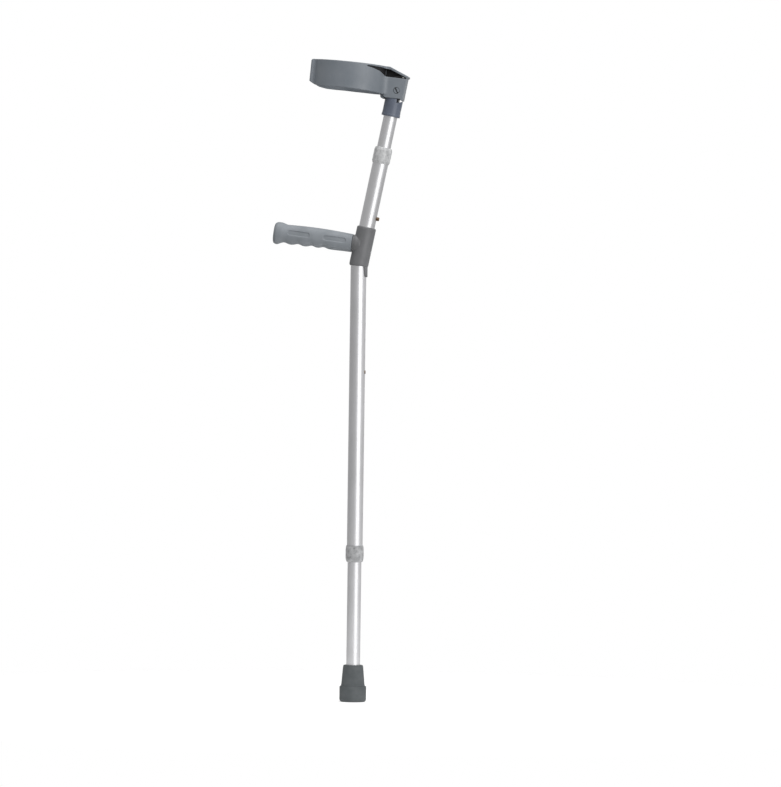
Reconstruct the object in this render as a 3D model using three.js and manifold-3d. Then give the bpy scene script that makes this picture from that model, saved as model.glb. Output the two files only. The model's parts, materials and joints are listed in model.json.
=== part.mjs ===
// Double-adjustable forearm crutch.
// Millimetres, +Z up along the lower tube. The origin is the centre of the rubber foot's base.
// -X is forwards (the hand grip side), +X is the rear (the side of the adjustment holes).
import * as THREE from 'three';
import { mergeVertices } from 'three/addons/utils/BufferGeometryUtils.js';
import Module from 'manifold-3d';

const wasm = await Module();
wasm.setup();

// ---------------------------------------------------------------- driving dimensions
const GAP = 0.3; // clearance between pieces that touch
const INCH = 25.4;
const OUTER_R = INCH / 2; // handle tube, outside
const OUTER_BORE_R = 11.5; // handle tube, inside
const INNER_R = 11.1; // 7/8 in sliding tubes, outside
const INNER_BORE_R = 9.9; // sliding tubes, inside
const SLIDE_BORE_R = INNER_R + GAP; // bore of a collar lip round a sliding tube
const SLEEVE_BORE_R = OUTER_R + GAP; // bore of a piece fitted over the handle tube

const BEND_Z = 702.7; // where the upper and lower axes cross
const LEAN = THREE.MathUtils.degToRad(11.4); // upper axis leans back from the lower axis
const BEND_R = 60; // centre-line radius of the bend

const HOLE_R = 3.3; // adjustment holes
const BUTTON_R = 3.0; // snap buttons
const LOWER_FIRST_HOLE_Z = 302.5;
const LOWER_HOLES = 13;
const LEG_BUTTON_HOLE = 9; // the leg is set on this hole, counted from 0 at the bottom
const LEG_BUTTON_Z = LOWER_FIRST_HOLE_Z + LEG_BUTTON_HOLE * INCH;
const UPPER_FIRST_HOLE_S = 79.6; // s is the distance above the bend, along the upper axis
const UPPER_HOLES = 4;
const LEG_BUTTON_PROUD = 0.9; // how far a button stands out of the handle tube
const FOREARM_BUTTON_PROUD = 4.3;

const TUBE_BOTTOM_Z = 229.4;
const TUBE_TOP_S = 190.4;
const LOWER_COLLAR = { low: 224.8, high: 251.6, radius: 14.6 };
const UPPER_COLLAR = { low: 168.4, high: 194.5, radius: 14.5 };

const LEG_BOTTOM_Z = 9.1;
const LEG_TOP_Z = LEG_BUTTON_Z + 25;
const FOREARM_BOTTOM_S = 54.6;
const FOREARM_TOP_S = 267.5;

const SLEEVE = { radius: 15.5, low: -0.6, high: 63.5 }; // the bracket round the bend
const GRIP = { s: 34.5, rise: THREE.MathUtils.degToRad(7.4), start: 17.6, length: 128 };
const STUB_R = 14.2; // the bracket's neck behind the grip
const SPIGOT = { radius: 9.7, end: GRIP.start + GRIP.length - 14 };
const CORE = { radius: 6, wall: 1.5, start: 15.9 };
const BRACKET_RIVET = { s: 24, radius: 2.1, hole: 2.4, head: 3.5, sink: 3.9, floor: 14.1 };

const SOCKET = { low: 245.7, shoulder: 275.3, radius: 14.65 };
const SOCKET_RIVET = { s: 256, radius: 2, hole: 2.3 };
const PIN = { v: 2.1, s: 288, radius: 3, head: 4.8, sink: 5.2 };
const CUFF_TILT = THREE.MathUtils.degToRad(5.2); // cuff plane's tilt from the horizontal at rest
const CUFF_SWING = THREE.MathUtils.degToRad(15);
const EAR = { inner: 10.9, outer: 14.65, front: -21, low: -12.8, high: 20.7 };
const BACK = { top: 15, bottom: 11.2, low: -15.5, high: 22.8, wall: 2.1 }; // the wall behind the ears
BACK.sweep = Math.hypot(BACK.bottom, BACK.low) + 0.4; // the room its lower edge needs about the pin
const TONGUE = { front: -12.4, rear: 8.1, top: 23.3 }; // the socket's tongue between the ears
const BAND = { centre: -79.5, halfLength: 59, halfWidth: 52.4, wall: 3.2, top: 37.2 };
const LIP = { startAngle: THREE.MathUtils.degToRad(31), radius: 7, turn: THREE.MathUtils.degToRad(76) };

const TUBE_SIDES = 30; // facets round the tubes, small parts and holes
const SMALL_SIDES = 16;
const HOLE_SIDES = 12;

// ---------------------------------------------------------------- materials
const material = (color, roughness, metalness) =>
  new THREE.MeshStandardMaterial({ color, roughness, metalness });
const ALUMINIUM = material(0xa9a9ac, 0.35, 1);
const BRACKET = material(0x6a6b6d, 0.55, 0);
const GRIP_RUBBER = material(0x82888f, 0.75, 0);
const CUFF_PLASTIC = material(0x727a84, 0.5, 0);
const SOCKET_PLASTIC = material(0x5f6878, 0.5, 0);
const PALE_PLASTIC = material(0xc9cbcc, 0.45, 0);
const COLLAR_PLASTIC = material(0x8d9092, 0.5, 0);
const PLUG_PLASTIC = material(0x2b2c2e, 0.6, 0);
const FOOT_RUBBER = material(0x5e6468, 0.85, 0);
const STEEL = material(0xb8bac0, 0.3, 1);
const BRASS = material(0x9a7a45, 0.35, 1);

// ---------------------------------------------------------------- solids
function signedVolume(positions, index) {
  const a = new THREE.Vector3();
  const b = new THREE.Vector3();
  const c = new THREE.Vector3();
  let sum = 0;
  for (let i = 0; i < index.length; i += 3) {
    a.fromArray(positions, 3 * index[i]);
    b.fromArray(positions, 3 * index[i + 1]);
    c.fromArray(positions, 3 * index[i + 2]);
    sum += a.dot(b.cross(c)) / 6;
  }
  return sum;
}

// A closed three.js geometry as a manifold solid, with its faces turned outwards.
function solid(geometry) {
  const plain = geometry.clone();
  plain.deleteAttribute('normal');
  plain.deleteAttribute('uv');
  const merged = mergeVertices(plain, 1e-4);
  const positions = merged.attributes.position.array;
  const index = merged.index.array;
  const kept = [];
  for (let i = 0; i < index.length; i += 3) {
    const [a, b, c] = [index[i], index[i + 1], index[i + 2]];
    if (a !== b && b !== c && c !== a) kept.push(a, b, c);
  }
  if (signedVolume(positions, kept) < 0) kept.reverse();
  return new wasm.Manifold(new wasm.Mesh({
    numProp: 3,
    vertProperties: new Float32Array(positions),
    triVerts: new Uint32Array(kept),
  }));
}

function geometryOf(manifold) {
  const mesh = manifold.getMesh();
  const geometry = new THREE.BufferGeometry();
  geometry.setAttribute('position', new THREE.BufferAttribute(mesh.vertProperties, 3));
  geometry.setIndex(new THREE.BufferAttribute(mesh.triVerts, 1));
  geometry.computeVertexNormals();
  return geometry;
}

// A profile of [radius, height] points turned about +Z.
function lathe(profile, segments = TUBE_SIDES) {
  const points = profile.map(([r, z]) => new THREE.Vector2(r, z));
  return new THREE.LatheGeometry(points, segments).rotateX(Math.PI / 2);
}

function ring(inner, outer, low, high, bevel = 0) {
  const profile = [[inner, low], [outer - bevel, low]];
  if (bevel > 0) profile.push([outer, low + bevel], [outer, high - bevel]);
  profile.push([outer - bevel, high], [inner, high], [inner, low]);
  return profile;
}

// A straight cylinder between two points.
function rod(radius, from, to, segments = SMALL_SIDES) {
  const start = new THREE.Vector3(...from);
  const axis = new THREE.Vector3(...to).sub(start);
  const geometry = new THREE.CylinderGeometry(radius, radius, axis.length(), segments);
  geometry.translate(0, axis.length() / 2, 0);
  const turn = new THREE.Quaternion();
  turn.setFromUnitVectors(new THREE.Vector3(0, 1, 0), axis.normalize());
  return geometry.applyQuaternion(turn).translate(...from);
}

function box(from, to) {
  const size = to.map((value, i) => value - from[i]);
  const middle = to.map((value, i) => (value + from[i]) / 2);
  return new THREE.BoxGeometry(...size).translate(...middle);
}

function shapeOf(points) {
  return new THREE.Shape(points.map(([x, y]) => new THREE.Vector2(x, y)));
}

// An outline of [x, y] points, extruded from one height to another.
function plate(points, low, high) {
  const depth = high - low;
  const geometry = new THREE.ExtrudeGeometry(shapeOf(points), { depth, bevelEnabled: false });
  return geometry.translate(0, 0, low);
}

// An outline of [x, z] points, extruded across Y.
function sideplate(points, left, right) {
  const geometry = plate(points, left, right);
  return geometry.rotateX(Math.PI / 2).scale(1, -1, 1);
}

function arc(cx, cy, radius, from, to, steps) {
  return Array.from({ length: steps + 1 }, (_, i) => {
    const angle = THREE.MathUtils.degToRad(from + ((to - from) * i) / steps);
    return [cx + radius * Math.cos(angle), cy + radius * Math.sin(angle)];
  });
}

// Bends a solid of revolution that was drawn straight, with height 0 at the middle of the bend.
function bend(geometry) {
  const half = (BEND_R * LEAN) / 2;
  const position = geometry.attributes.position;
  for (let i = 0; i < position.count; i += 1) {
    const across = position.getX(i);
    const along = position.getZ(i);
    const angle = THREE.MathUtils.clamp((along + half) / BEND_R, 0, LEAN);
    const straight = along + half - angle * BEND_R;
    const reach = BEND_R - across;
    const x = BEND_R - reach * Math.cos(angle) + straight * Math.sin(angle);
    const z = reach * Math.sin(angle) + straight * Math.cos(angle);
    position.setX(i, x);
    position.setZ(i, BEND_Z - BEND_R * Math.tan(LEAN / 2) + z);
  }
  return geometry;
}

// A closed tube wall along the bent centre line, with rings through the bend itself.
function bentWall(radius, low, high) {
  const half = (BEND_R * LEAN) / 2;
  const steps = 5;
  const heights = Array.from({ length: steps + 1 }, (_, i) => -half + (2 * half * i) / steps);
  const inside = heights.filter((height) => height > low && height < high);
  const profile = [[0, low], [radius, low], ...inside.map((height) => [radius, height])];
  profile.push([radius, high], [0, high]);
  return bend(lathe(profile));
}

// ---------------------------------------------------------------- frames
const crutch = new THREE.Group();
const upper = new THREE.Group(); // +Z along the upper axis, 0 at the bend
upper.position.set(0, 0, BEND_Z);
upper.rotation.y = LEAN;
const handle = new THREE.Group(); // +Z out along the hand grip, +X to its upper side
handle.position.set(0, 0, GRIP.s);
handle.rotation.y = -(Math.PI / 2 - GRIP.rise) - LEAN;
upper.add(handle);
const cuff = new THREE.Group(); // level with the cuff's plane, origin on the pivot pin
cuff.position.set(PIN.v, 0, PIN.s);
cuff.rotation.y = CUFF_TILT - LEAN;
upper.add(cuff);
crutch.add(upper);
crutch.updateMatrixWorld(true);

function add(group, name, manifold, finish) {
  const mesh = new THREE.Mesh(geometryOf(manifold), finish);
  mesh.name = name;
  group.add(mesh);
}

// Moves a geometry drawn in one group's frame into another's.
function across(geometry, from, to) {
  const matrix = to.matrixWorld.clone().invert().multiply(from.matrixWorld);
  return geometry.applyMatrix4(matrix);
}

// ---------------------------------------------------------------- tubes
function handleTube() {
  const low = TUBE_BOTTOM_Z - BEND_Z;
  let tube = solid(bentWall(OUTER_R, low, TUBE_TOP_S));
  tube = tube.subtract(solid(bentWall(OUTER_BORE_R, low - 1, TUBE_TOP_S + 1)));
  for (let hole = 0; hole < LOWER_HOLES; hole += 1) {
    const z = LOWER_FIRST_HOLE_Z + hole * INCH;
    tube = tube.subtract(solid(rod(HOLE_R, [6, 0, z], [16, 0, z], HOLE_SIDES)));
  }
  for (let hole = 0; hole < UPPER_HOLES; hole += 1) {
    const s = UPPER_FIRST_HOLE_S + hole * INCH;
    tube = tube.subtract(solid(across(rod(HOLE_R, [6, 0, s], [16, 0, s], HOLE_SIDES), upper, crutch)));
  }
  return tube.subtract(solid(across(bracketRivetHole(), upper, crutch)));
}

function slidingTube(low, high, buttonHeight) {
  const tube = solid(lathe(ring(INNER_BORE_R, INNER_R, low, high)));
  return tube.subtract(solid(rod(HOLE_R, [5, 0, buttonHeight], [16, 0, buttonHeight], HOLE_SIDES)));
}

// A plastic end plug: its flange covers the tube's end and its spigot sits in the bore.
function endPlug(tubeEnd, direction) {
  const out = (distance) => tubeEnd + direction * distance;
  const profile = [[0, out(-11)], [INNER_BORE_R - 1.1, out(-11)], [INNER_BORE_R - GAP, out(-9)],
    [INNER_BORE_R - GAP, out(GAP)], [INNER_R, out(GAP)], [INNER_R, out(1.6)],
    [INNER_R - 0.8, out(2.4)], [0, out(2.4)]];
  return solid(lathe(profile, 20));
}

// ---------------------------------------------------------------- snap buttons and V springs
const BUTTON_FLANGE = { radius: 4.2, low: 7.4, high: 8.3 };

function snapButton(height, proud) {
  const top = OUTER_R + proud;
  const dome = Math.min(1.8, proud);
  const profile = [[0, BUTTON_FLANGE.low], [BUTTON_FLANGE.radius, BUTTON_FLANGE.low],
    [BUTTON_FLANGE.radius, BUTTON_FLANGE.high], [BUTTON_R, BUTTON_FLANGE.high], [BUTTON_R, top - dome],
    [BUTTON_R * 0.8, top - dome * 0.35], [0, top]];
  return solid(lathe(profile, SMALL_SIDES).rotateY(Math.PI / 2).translate(0, 0, height));
}

// A leaf bent to a V with a round bight; one arm lies under the button.
// The bight is above the button where direction is 1, and below it where it is -1.
function vSpring(buttonHeight, direction) {
  const leaf = 0.8;
  const outer = BUTTON_FLANGE.low - GAP;
  const bight = 34;
  const open = -6;
  const outline = [[outer, open], ...arc(0, bight, 5, 0, 180, 8), [-outer, open],
    [-outer + leaf, open], ...arc(0, bight, 5 - leaf, 180, 0, 8), [outer - leaf, open]];
  const placed = outline.map(([x, z]) => [x, buttonHeight + direction * z]);
  return solid(sideplate(placed, -3, 3));
}

// ---------------------------------------------------------------- handle
function bracketRivetHole() {
  const { s, hole, sink, floor } = BRACKET_RIVET;
  const profile = [[0, 9], [hole, 9], [hole, floor], [sink, floor], [sink, 19], [0, 19]];
  return lathe(profile, HOLE_SIDES).rotateY(Math.PI / 2).translate(0, 0, s);
}

function handleBracket() {
  const { radius, low, high } = SLEEVE;
  const front = GRIP.start - GAP;
  let bracket = solid(bentWall(radius, low, high));
  const stub = [[0, 5], [STUB_R, 5], [STUB_R, front], [SPIGOT.radius, front],
    [SPIGOT.radius, SPIGOT.end], [0, SPIGOT.end]];
  bracket = bracket.add(solid(across(lathe(stub), handle, crutch)));
  bracket = bracket.add(bracketTongue());
  bracket = bracket.subtract(solid(bentWall(SLEEVE_BORE_R, low - 60, high + 20)));
  const coreHole = rod(CORE.radius + GAP, [0, 0, CORE.start - GAP], [0, 0, SPIGOT.end + 1], 24);
  bracket = bracket.subtract(solid(across(coreHole, handle, crutch)));
  return bracket.subtract(solid(across(bracketRivetHole(), upper, crutch)));
}

// The tapering tongue that runs down the rear of the lower tube.
function bracketTongue() {
  const thickness = 2;
  const wall = solid(bentWall(OUTER_R + thickness, -19, 4));
  const outline = [[-9.5, 2], [-7.5, -14], ...arc(0, -13.5, 5, 200, 340, 6), [7.5, -14], [9.5, 2]];
  const cutter = plate(outline.map(([y, z]) => [z + BEND_Z, y]), 5, 20);
  cutter.applyMatrix4(new THREE.Matrix4().set(0, 0, 1, 0, 0, 1, 0, 0, 1, 0, 0, 0, 0, 0, 0, 1));
  return wall.intersect(solid(cutter));
}

function bracketRivet() {
  const { s, radius, head, floor } = BRACKET_RIVET;
  const seat = floor + GAP;
  const profile = [[0, 10.9], [radius, 10.9], [radius, seat], [head, seat], [head - 0.2, seat + 0.7],
    [head - 1.2, seat + 1], [0, seat + 1.1]];
  return solid(lathe(profile, HOLE_SIDES).rotateY(Math.PI / 2).translate(0, 0, s));
}

function handleCore() {
  const { radius, wall, start } = CORE;
  return solid(lathe(ring(radius - wall, radius, start, SPIGOT.end - 1), 20));
}

// Half-thickness of the grip's top and underside, at a distance t from its inner end.
const GROOVES = [45.3, 64.6, 87.2, 109.7];
function gripTop(t) {
  const bulb = THREE.MathUtils.smoothstep(t, 106, 118);
  return 14.8 + 2 * Math.sin((Math.PI * t) / 115) + 3 * bulb;
}
function gripUnderside(t) {
  const bulb = THREE.MathUtils.smoothstep(t, 114, 122);
  const groove = GROOVES.reduce((sum, middle) => sum + Math.exp(-(((t - middle) / 6.2) ** 2)), 0);
  return 14.5 + 2.6 * (t / GRIP.length) - 2.4 * groove + 1.8 * bulb;
}
function gripHalfWidth(t) {
  return 14.6 + 0.4 * (t / GRIP.length) + 1.8 * THREE.MathUtils.smoothstep(t, 104, 117);
}

function handGrip() {
  const rings = 34;
  const stations = Array.from({ length: rings + 1 }, (_, i) => (GRIP.length * i) / rings);
  const profile = [[0, 0], [1 - 0.06, 0], ...stations.slice(1, -1).map((t) => [1, t])];
  profile.push([0.95, GRIP.length - 1.6], [0.75, GRIP.length], [0, GRIP.length]);
  const body = lathe(profile, 24);
  const position = body.attributes.position;
  for (let i = 0; i < position.count; i += 1) {
    const x = position.getX(i);
    const t = position.getZ(i);
    position.setX(i, x * (x > 0 ? gripTop(t) : gripUnderside(t)));
    position.setY(i, position.getY(i) * gripHalfWidth(t));
    position.setZ(i, t + GRIP.start);
  }
  const bore = rod(SPIGOT.radius + GAP, [0, 0, GRIP.start - 1], [0, 0, SPIGOT.end + 1], 24);
  return solid(body).subtract(solid(bore));
}

// ---------------------------------------------------------------- collars
// A collar wraps the handle tube's end; its lip closes round the sliding tube over a ring.
function collar({ low, high, radius }, tubeEnd, lipSide) {
  const seat = tubeEnd + lipSide * 2.6;
  const rim = lipSide > 0 ? high : low;
  const back = lipSide > 0 ? low : high;
  const outside = [[radius - 1.2, back], [radius, back + lipSide * 3.2], [radius, rim - lipSide * 4.4],
    [radius - 1.1, rim - lipSide * 1.6], [radius - 2.3, rim]];
  const inside = [[SLIDE_BORE_R, rim], [SLIDE_BORE_R, seat], [SLEEVE_BORE_R, seat], [SLEEVE_BORE_R, back]];
  return solid(lathe([...outside, ...inside, outside[0]]));
}

function collarRing(tubeEnd, lipSide) {
  const ends = [tubeEnd + lipSide * GAP, tubeEnd + lipSide * 2.3].sort((a, b) => a - b);
  return solid(lathe(ring(SLIDE_BORE_R, SLEEVE_BORE_R - GAP, ends[0], ends[1]), 24));
}

// ---------------------------------------------------------------- cuff socket
function cuffSocket() {
  const { low, shoulder, radius } = SOCKET;
  const outer = [[0, low], [radius + 0.1, low], [radius + 0.6, low + 0.9], [radius + 0.4, low + 2.2],
    [radius, low + 3.6], [radius, shoulder], [0, shoulder]];
  let socket = solid(lathe(outer));
  const rest = across(box([-40, -40, EAR.low - 0.4], [40, 40, 30]), cuff, upper);
  const raised = new THREE.BoxGeometry(80, 80, 60).translate(0, 0, EAR.low - 0.4 + 30);
  raised.rotateY(CUFF_SWING + CUFF_TILT - LEAN).translate(PIN.v, 0, PIN.s);
  const swept = solid(rod(BACK.sweep, [PIN.v, -40, PIN.s], [PIN.v, 40, PIN.s], 60));
  const behind = solid(box([TONGUE.rear - 2.1, -40, low], [40, 40, PIN.s]));
  socket = socket.subtract(solid(rest)).subtract(solid(raised)).subtract(swept.intersect(behind));
  socket = socket.add(solid(socketTongue()));
  const bore = rod(SLIDE_BORE_R, [0, 0, low - 1], [0, 0, FOREARM_TOP_S + GAP], TUBE_SIDES);
  socket = socket.subtract(solid(bore));
  socket = socket.subtract(solid(socketRivetHole()));
  socket = socket.subtract(solid(countersink(1))).subtract(solid(countersink(-1)));
  return socket.subtract(solid(rod(PIN.radius + 0.4, [PIN.v, -20, PIN.s], [PIN.v, 20, PIN.s])));
}

// The tongue stands between the cuff's ears; its top is an arc about the pin.
function socketTongue() {
  const { front, rear, top } = TONGUE;
  const degrees = THREE.MathUtils.radToDeg;
  const from = degrees(Math.acos((rear - PIN.v) / top));
  const to = degrees(Math.acos((front - PIN.v) / top));
  const crown = arc(PIN.v, PIN.s, top, from, to, 10);
  const half = EAR.inner - 0.4;
  return sideplate([[-9, 270], [rear, 270], ...crown, [front, 276]], -half, half);
}

function socketRivetHole() {
  const { s, hole } = SOCKET_RIVET;
  return rod(hole, [-20, 0, s], [20, 0, s], HOLE_SIDES);
}

function socketRivet() {
  const { s, radius } = SOCKET_RIVET;
  const profile = [[0, -14.4], [3.2, -14.4], [radius, -13.2], [radius, 13.2], [3.2, 14.4], [0, 14.4]];
  return solid(lathe(profile, HOLE_SIDES).rotateY(Math.PI / 2).translate(0, 0, s));
}

// The sunk heads of the rivet need a countersink at each side of the socket.
function countersink(side) {
  const profile = [[0, 12.8], [2.2, 12.8], [4.2, 15.2], [0, 15.2]];
  return lathe(profile, HOLE_SIDES).rotateY((side * Math.PI) / 2).translate(0, 0, SOCKET_RIVET.s);
}

// ---------------------------------------------------------------- cuff
// One arm's centre line from the rear to its flared lip; side is -1 or 1.
// The inset moves the line towards the inside of the cuff.
function armLine(side, inset = 0) {
  const steps = 20;
  const points = [];
  for (let i = 0; i <= steps; i += 1) {
    const angle = Math.PI - ((Math.PI - LIP.startAngle) * i) / steps;
    const p = BAND.centre - (BAND.halfLength - inset) * Math.cos(angle);
    points.push([p, side * (BAND.halfWidth - inset) * Math.sin(angle)]);
  }
  const [p0, y0] = points[steps - 1];
  const [p1, y1] = points[steps];
  let heading = Math.atan2(y1 - y0, p1 - p0);
  const lipSteps = 5;
  let [p, y] = [p1, y1];
  for (let i = 0; i < lipSteps; i += 1) {
    heading += (side * -LIP.turn) / lipSteps;
    p += ((LIP.radius * LIP.turn) / lipSteps) * Math.cos(heading);
    y += ((LIP.radius * LIP.turn) / lipSteps) * Math.sin(heading);
    points.push([p, y]);
  }
  return points;
}

// A strip of constant thickness along a line of points.
function ribbon(points, thickness) {
  const sides = [[], []];
  points.forEach(([x, y], i) => {
    const [xa, ya] = points[Math.max(i - 1, 0)];
    const [xb, yb] = points[Math.min(i + 1, points.length - 1)];
    const length = Math.hypot(xb - xa, yb - ya);
    const nx = (-(yb - ya) / length) * (thickness / 2);
    const ny = ((xb - xa) / length) * (thickness / 2);
    sides[0].push([x + nx, y + ny]);
    sides[1].unshift([x - nx, y - ny]);
  });
  return [...sides[0], ...sides[1]];
}

// The band's outline seen from the side, as [p, h]: rear positive, up positive.
function bandSide() {
  return [[-143, 5], [-139, 0], [-131, -4], [-120, -5.6], [-107, -5.5], [-91, -5.2], [-60, -5.8],
    [-30, -7], [-16, -8.4], [-16, BAND.top], [-138.5, BAND.top], [-141.5, BAND.top - 2.2],
    [-143, BAND.top - 6]];
}

// The dark wedge under the hood and the rim: a slot through the walls above each ear,
// which runs out forwards as a recess in the band.
function windowOutline() {
  return [[-50, 33.7], [-38, 31.2], [-28.5, 28], [-24, 24.4], [-21, 21.4], [-17, EAR.high],
    [BACK.top - 1.5, EAR.high - 0.8], [BACK.top - 1, 21.4], [-13, 32.6], [-30, 34.1], [-50, 34.4]];
}

// The thin wall left behind the recess.
function recessFloor() {
  const inset = 0.9;
  const line = [...armLine(-1, inset).reverse(), ...armLine(1, inset).slice(1)];
  const wall = solid(plate(ribbon(line, BAND.wall - 2 * inset), 15, 35.5));
  return wall.intersect(solid(box([-60, -70, 15], [-19, 70, 35.5])));
}

function cuffBand() {
  const line = [...armLine(-1).reverse(), ...armLine(1).slice(1)];
  let band = solid(plate(ribbon(line, BAND.wall), -20, 50));
  for (const side of [-1, 1]) {
    const [p, y] = armLine(side).at(-1);
    band = band.add(solid(rod(2.3, [p, y, -20], [p, y, 50], HOLE_SIDES)));
  }
  band = band.intersect(solid(sideplate(bandSide(), -70, 70)));
  const { inner, outer, front, low, high } = EAR;
  const corner = BACK.bottom - BACK.wall - 1;
  const wall = [[front, low + 3], [front + 3, low], [corner - 1.5, low], [corner, BACK.low],
    [BACK.bottom, BACK.low], [BACK.top, BACK.high], [front, high + 15]];
  for (const side of [-1, 1]) {
    const ends = side < 0 ? [-outer, -inner] : [inner, outer];
    band = band.add(solid(sideplate(wall, ...ends)));
  }
  band = band.add(solid(sideplate(backWall(), -outer, outer)));
  band = band.add(hood());
  for (const side of [-1, 1]) {
    const ends = side < 0 ? [-60, -9.5] : [9.5, 60];
    band = band.add(solid(plate(web(side), -7.6, 34)));
    band = band.subtract(solid(sideplate(windowOutline(), ...ends)));
  }
  band = band.add(recessFloor()).add(rearRib()).add(stopLug());
  band = band.subtract(solid(rod(PIN.radius + GAP, [0, -20, 0], [0, 20, 0])));
  band = band.subtract(solid(rod(PIN.sink, [0, -20, 0], [0, -12.9, 0], 20)));
  return band.subtract(solid(rod(PIN.sink, [0, 12.9, 0], [0, 20, 0], 20)));
}

// The hollow fillet between the band and an ear, seen from above.
function web(side) {
  const fillet = arc(-13.04, 26.65, 12, 270, 205.8, 5);
  const outline = [[-13.04, 12], ...fillet, [-25, 20], [-20, 12]];
  return outline.map(([p, y]) => [p, side * y]);
}

// Closes the channel behind the tongue, under the hood's rear end.
function rearRib() {
  const { top } = BACK;
  const outline = [[top - 5.4, 18.8], [top - 1.4, 18.8], [top - 1, 22.2], [top - 5.4, 24.2]];
  return solid(sideplate(outline, -9.3, 9.3));
}

function backWall() {
  const { top, bottom, low, high, wall } = BACK;
  return [[bottom - wall, low], [bottom, low], [top, high], [top - wall, high]];
}

// The sloping hood over the hinge, with a rib under its middle.
function hood() {
  const rear = BACK.top;
  const top = [[-21, BAND.top], [-14, BAND.top], [rear + 2, 24.2], [rear + 2, 21.4], [rear - 1, 20.7]];
  const cover = solid(sideplate([...top, [-14, 32.6], [-21, 32.6]], -EAR.outer, EAR.outer));
  const crown = arc(0, 0, TONGUE.top + 0.9, 58, 140, 10);
  const ribOutline = [...crown, [-21, 16], [-21, 34], [-13, 34], [rear - 1.6, 22.5]];
  return cover.add(solid(sideplate(ribOutline, -3, 3)));
}

// The lug under the rear wall that comes to rest on the front of the socket.
function stopLug() {
  const outline = [[-27, -7], [-26, -13], [-22, -14.5], [-12, -14.5], [-12, -5], [-22, 2]];
  const lug = solid(sideplate(outline, -5, 5));
  const clear = across(rod(SOCKET.radius + GAP, [0, 0, 240], [0, 0, 300], TUBE_SIDES), upper, cuff);
  return lug.subtract(solid(clear));
}

function cuffPin() {
  const { radius, head } = PIN;
  const profile = [[0, -14.5], [head - 0.6, -14.5], [head, -14.1], [head, -13.2], [radius, -13.2],
    [radius, 14.1], [radius - 0.5, 14.5], [0, 14.5]];
  const pin = solid(lathe(profile, 20).rotateX(-Math.PI / 2));
  const slot = new THREE.BoxGeometry(1.9, 1.8, 14).rotateY(-Math.PI / 6).translate(0, -14.7, 0);
  return pin.subtract(solid(slot));
}

function cuffPinCap() {
  return solid(lathe(ring(PIN.radius + GAP, PIN.head, 13.2, 14.4, 0.4), 20).rotateX(-Math.PI / 2));
}

// ---------------------------------------------------------------- foot
function ferrule() {
  const outside = [[0, 0], [17.6, 0], [20.2, 1], [21.6, 3.2], [21.6, 23.4], [20.8, 24.9], [19.2, 25.3],
    [18.8, 28], [16.6, 54.6], [15.7, 57.4], [13.8, 59.1]];
  const bore = [[SLIDE_BORE_R + 0.6, 59.1], [SLIDE_BORE_R, 57.6], [SLIDE_BORE_R, 6.4], [0, 6.4]];
  let foot = solid(lathe([...outside, ...bore]));
  for (const radius of [8.5, 12.5, 16.5]) {
    foot = foot.subtract(solid(lathe(ring(radius - 0.8, radius + 0.8, -1, 1.5))));
  }
  return foot;
}

// ---------------------------------------------------------------- the assembly
add(crutch, 'handle_tube', handleTube(), ALUMINIUM);
add(crutch, 'handle_bracket', handleBracket(), BRACKET);
add(upper, 'bracket_rivet', bracketRivet(), STEEL);
add(handle, 'handle_core', handleCore(), STEEL);
add(handle, 'hand_grip', handGrip(), GRIP_RUBBER);
add(upper, 'upper_collar', collar(UPPER_COLLAR, TUBE_TOP_S, 1), PALE_PLASTIC);
add(upper, 'upper_collar_ring', collarRing(TUBE_TOP_S, 1), FOOT_RUBBER);
add(crutch, 'lower_collar', collar(LOWER_COLLAR, TUBE_BOTTOM_Z, -1), COLLAR_PLASTIC);
add(crutch, 'lower_collar_ring', collarRing(TUBE_BOTTOM_Z, -1), FOOT_RUBBER);

const forearmTube = slidingTube(FOREARM_BOTTOM_S, FOREARM_TOP_S, UPPER_FIRST_HOLE_S);
add(upper, 'forearm_tube', forearmTube.subtract(solid(socketRivetHole())), ALUMINIUM);
add(upper, 'forearm_end_plug', endPlug(FOREARM_BOTTOM_S, -1), PLUG_PLASTIC);
add(upper, 'forearm_spring', vSpring(UPPER_FIRST_HOLE_S, 1), STEEL);
add(upper, 'forearm_button', snapButton(UPPER_FIRST_HOLE_S, FOREARM_BUTTON_PROUD), BRASS);
add(upper, 'cuff_socket', cuffSocket(), SOCKET_PLASTIC);
add(upper, 'socket_rivet', socketRivet(), STEEL);

add(cuff, 'cuff_band', cuffBand(), CUFF_PLASTIC);
add(cuff, 'cuff_pin', cuffPin(), SOCKET_PLASTIC);
add(cuff, 'cuff_pin_cap', cuffPinCap(), STEEL);

add(crutch, 'leg_tube', slidingTube(LEG_BOTTOM_Z, LEG_TOP_Z, LEG_BUTTON_Z), ALUMINIUM);
add(crutch, 'leg_end_plug', endPlug(LEG_TOP_Z, 1), PLUG_PLASTIC);
add(crutch, 'leg_spring', vSpring(LEG_BUTTON_Z, -1), STEEL);
add(crutch, 'leg_button', snapButton(LEG_BUTTON_Z, LEG_BUTTON_PROUD), BRASS);
add(crutch, 'ferrule', ferrule(), FOOT_RUBBER);
add(crutch, 'ferrule_washer', solid(lathe(ring(5, INNER_R, 6.7, 8.8), 24)), STEEL);

export default crutch;
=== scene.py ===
"""Looks for the forearm crutch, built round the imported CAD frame."""
import json
import math

import bmesh
import bpy
import numpy as np
from mathutils import Matrix, Vector


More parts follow.
